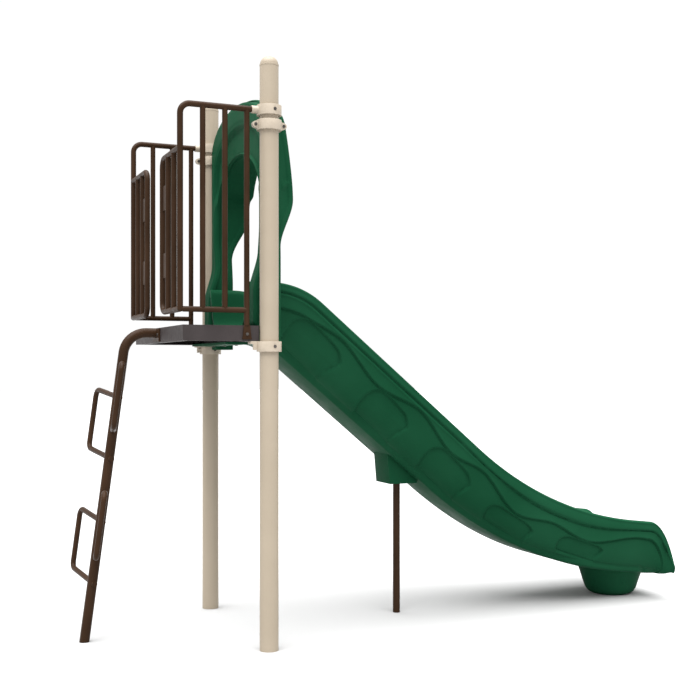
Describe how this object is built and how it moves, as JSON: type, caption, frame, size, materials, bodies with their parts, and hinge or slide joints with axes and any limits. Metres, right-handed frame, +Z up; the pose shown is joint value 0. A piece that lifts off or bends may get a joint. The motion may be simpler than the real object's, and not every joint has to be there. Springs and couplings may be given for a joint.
{
  "type": "playground wave slide",
  "caption": "Free-standing playground slide: steel posts and deck, tube barriers, a moulded hood, a walled wave slide and a pole climber with step loops.",
  "frame": {"origin": "on the ground, in the middle of the footprint", "axes": "+X down the slide, +Y across it, +Z up"},
  "size_m": [3.3104, 1.123, 2.789],
  "materials": {
    "post": "satin powder coat, warm beige",
    "cast": "satin powder coat on cast aluminium, pale beige",
    "rail": "satin powder coat, dark brown",
    "deck": "dipped vinyl coating, dark grey-brown",
    "moulded": "rotomoulded, fine texture, forest green",
    "bolt": "zinc-plated"
  },
  "bodies": {
    "root": {"near_post": "post", "far_post": "post", "near_post_cap": "post", "far_post_cap": "post", "deck_pan": "deck", "deck_stiffeners": "deck", "near_deck_clamp_arm": "cast", "near_deck_clamp_strap": "cast", "far_deck_clamp_arm": "cast", "far_deck_clamp_strap": "cast", "near_rail_clamp_arm": "cast", "near_rail_clamp_strap": "cast", "far_rail_clamp_arm": "cast", "far_rail_clamp_strap": "cast", "near_hood_clamp_inner": "cast", "near_hood_clamp_outer": "cast", "far_hood_clamp_inner": "cast", "far_hood_clamp_outer": "cast", "near_barrier_hoop": "rail", "far_barrier_hoop": "rail", "near_barrier_pickets": "rail", "far_barrier_pickets": "rail", "near_bottom_rail": "rail", "far_bottom_rail": "rail", "near_barrier_lug": "rail", "far_barrier_lug": "rail", "near_wing_hoop": "rail", "far_wing_hoop": "rail", "near_wing_pickets": "rail", "far_wing_pickets": "rail", "near_wing_tabs": "rail", "far_wing_tabs": "rail", "slide_body": "moulded", "entry_flange": "moulded", "slide_hood": "moulded", "leg_block": "moulded", "support_leg": "rail", "exit_foot": "moulded", "climber_pole": "rail", "climber_plate": "rail", "step_loop_1": "rail", "step_loop_2": "rail", "step_loop_3": "rail", "step_loop_4": "rail", "clamp_bolts": "bolt", "hood_clamp_bolts": "bolt", "hood_clamp_nuts": "bolt", "deck_clamp_screws": "bolt", "lug_bolts": "bolt", "climber_bolts": "bolt", "slide_bolts": "bolt", "block_screws": "bolt"}
  },
  "joints": []
}
